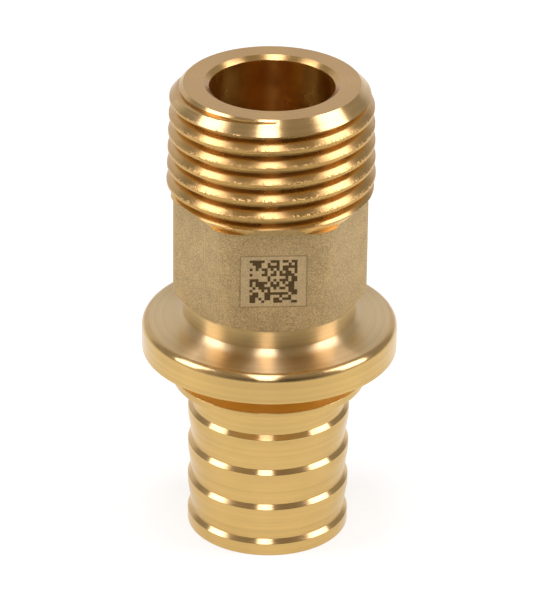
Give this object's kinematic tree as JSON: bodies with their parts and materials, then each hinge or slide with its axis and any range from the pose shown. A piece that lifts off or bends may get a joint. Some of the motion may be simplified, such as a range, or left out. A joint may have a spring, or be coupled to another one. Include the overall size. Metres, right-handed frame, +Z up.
{
  "type": "pex male adapter",
  "caption": "One-piece brass pipe adapter: a barbed tail for crosslinked pipe, a collar, a wrench hexagon and a tapered male pipe thread round a straight water bore.",
  "frame": {"origin": "bore axis at the plane of the tail's end face, which the part stands on", "axes": "+Z up the bore from the tail to the thread, -Y towards the marked flat of the hexagon"},
  "size_m": [0.0263, 0.0262, 0.0501],
  "materials": {
    "brass": "turned, with a shot-blasted hexagon"
  },
  "bodies": {
    "root": {"adapter_body": "brass"}
  },
  "joints": []
}
